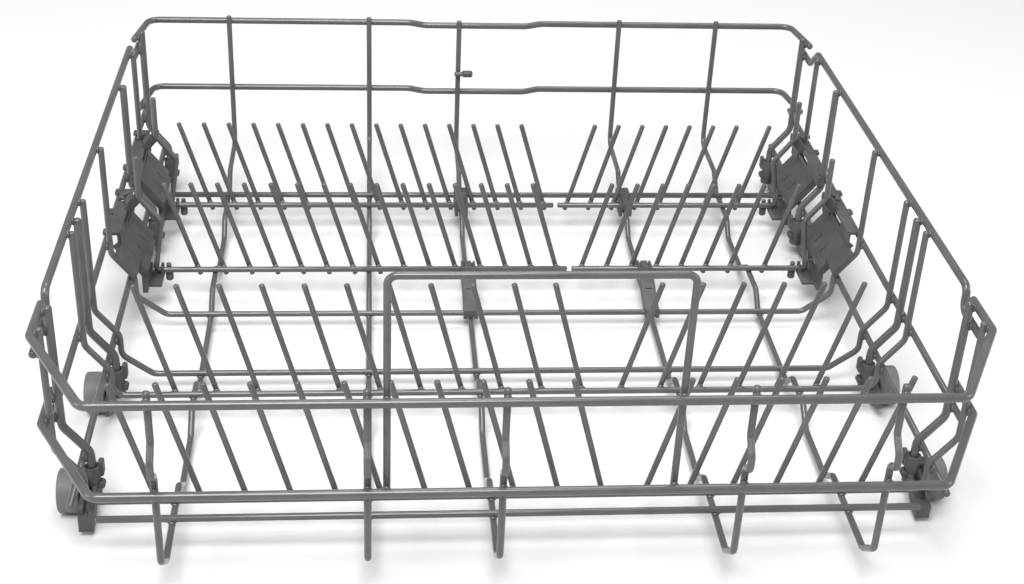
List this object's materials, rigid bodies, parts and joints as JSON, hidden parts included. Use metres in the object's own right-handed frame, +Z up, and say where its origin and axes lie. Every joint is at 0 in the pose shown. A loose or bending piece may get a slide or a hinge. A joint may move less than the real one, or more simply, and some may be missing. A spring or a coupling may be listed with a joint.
{
  "type": "dishwasher basket",
  "caption": "Low rectangular basket of coated wire on rollers, with a handle bow, fixed tines and folding tine rows for plates in the lower rack of a dishwasher.",
  "frame": {"origin": "middle of the basket's box, on the floor under the rollers", "axes": "+X to the right seen from the front, +Y from the front with the handle to the rear, +Z up"},
  "size_m": [0.525, 0.5302, 0.2065],
  "materials": {
    "coated_wire": "satin grey plastic coating on steel wire",
    "bracket_plastic": "fine matt moulding",
    "holder_plastic": "fine matt moulding",
    "roller_plastic": "matt moulding",
    "cap_plastic": "matt moulding"
  },
  "bodies": {
    "frame": {"front_top_rail": "coated_wire", "front_lower_rail": "coated_wire", "handle_bow": "coated_wire", "rear_top_rail": "coated_wire", "rear_lower_rail": "coated_wire", "side_rail_left": "coated_wire", "side_rail_right": "coated_wire", "mid_rail_left": "coated_wire", "mid_rail_right": "coated_wire", "low_rail_left": "coated_wire", "low_rail_right": "coated_wire", "long_wire_1": "coated_wire", "long_wire_2": "coated_wire", "long_wire_3": "coated_wire", "long_wire_4": "coated_wire", "long_wire_5": "coated_wire", "rear_floor_rod": "coated_wire", "front_floor_rod": "coated_wire", "cross_wire_rear": "coated_wire", "cross_wire_middle": "coated_wire", "cross_wire_tines": "coated_wire", "cross_wire_front": "coated_wire", "posts_rear": "coated_wire", "posts_mid_rear": "coated_wire", "posts_mid_front": "coated_wire", "posts_front": "coated_wire", "corner_uprights": "coated_wire", "fixed_tines_middle": "coated_wire", "fixed_tines_front": "coated_wire", "rear_peg": "coated_wire", "rear_peg_cap": "cap_plastic", "rear_bracket_left": "bracket_plastic", "rear_bracket_right": "bracket_plastic", "middle_bracket_left": "bracket_plastic", "middle_bracket_right": "bracket_plastic", "rear_clip_left": "bracket_plastic", "rear_clip_right": "bracket_plastic", "middle_clip_left": "bracket_plastic", "middle_clip_right": "bracket_plastic", "holders_rear": "holder_plastic", "holders_mid_rear": "holder_plastic", "holders_mid_front": "holder_plastic", "holders_front": "holder_plastic"},
    "rear_row_left": {"rear_row_left": "coated_wire", "rear_cap_left": "cap_plastic"},
    "rear_row_right": {"rear_row_right": "coated_wire", "rear_cap_right": "cap_plastic"},
    "middle_row_left": {"middle_row_left": "coated_wire", "middle_cap_left": "cap_plastic"},
    "middle_row_right": {"middle_row_right": "coated_wire", "middle_cap_right": "cap_plastic"},
    "roller_rear_left": {"roller_rear_left": "roller_plastic"},
    "roller_rear_right": {"roller_rear_right": "roller_plastic"},
    "roller_mid_rear_left": {"roller_mid_rear_left": "roller_plastic"},
    "roller_mid_rear_right": {"roller_mid_rear_right": "roller_plastic"},
    "roller_mid_front_left": {"roller_mid_front_left": "roller_plastic"},
    "roller_mid_front_right": {"roller_mid_front_right": "roller_plastic"},
    "roller_front_left": {"roller_front_left": "roller_plastic"},
    "roller_front_right": {"roller_front_right": "roller_plastic"}
  },
  "joints": [
    {"name": "rear_left_fold", "type": "hinge", "parent": "frame", "child": "rear_row_left", "pos_m": [-0.0864, 0.1621, 0.02215], "axis": [1, 0, 0], "range_deg": [0, 70]},
    {"name": "rear_right_fold", "type": "hinge", "parent": "frame", "child": "rear_row_right", "pos_m": [0.146, 0.1621, 0.02215], "axis": [1, 0, 0], "range_deg": [0, 70]},
    {"name": "middle_left_fold", "type": "hinge", "parent": "frame", "child": "middle_row_left", "pos_m": [-0.0864, 0.0646, 0.02215], "axis": [1, 0, 0], "range_deg": [0, 70]},
    {"name": "middle_right_fold", "type": "hinge", "parent": "frame", "child": "middle_row_right", "pos_m": [0.146, 0.0646, 0.02215], "axis": [1, 0, 0], "range_deg": [0, 70]},
    {"name": "rear_left_roll", "type": "hinge", "parent": "frame", "child": "roller_rear_left", "pos_m": [-0.2535, 0.2243, 0.013], "axis": [1, 0, 0], "continuous": true},
    {"name": "rear_right_roll", "type": "hinge", "parent": "frame", "child": "roller_rear_right", "pos_m": [0.2535, 0.2243, 0.013], "axis": [1, 0, 0], "continuous": true},
    {"name": "mid_rear_left_roll", "type": "hinge", "parent": "frame", "child": "roller_mid_rear_left", "pos_m": [-0.2535, 0.1226, 0.013], "axis": [1, 0, 0], "continuous": true},
    {"name": "mid_rear_right_roll", "type": "hinge", "parent": "frame", "child": "roller_mid_rear_right", "pos_m": [0.2535, 0.1226, 0.013], "axis": [1, 0, 0], "continuous": true},
    {"name": "mid_front_left_roll", "type": "hinge", "parent": "frame", "child": "roller_mid_front_left", "pos_m": [-0.2535, -0.0727, 0.013], "axis": [1, 0, 0], "continuous": true},
    {"name": "mid_front_right_roll", "type": "hinge", "parent": "frame", "child": "roller_mid_front_right", "pos_m": [0.2535, -0.0727, 0.013], "axis": [1, 0, 0], "continuous": true},
    {"name": "front_left_roll", "type": "hinge", "parent": "frame", "child": "roller_front_left", "pos_m": [-0.2535, -0.1712, 0.013], "axis": [1, 0, 0], "continuous": true},
    {"name": "front_right_roll", "type": "hinge", "parent": "frame", "child": "roller_front_right", "pos_m": [0.2535, -0.1712, 0.013], "axis": [1, 0, 0], "continuous": true}
  ]
}
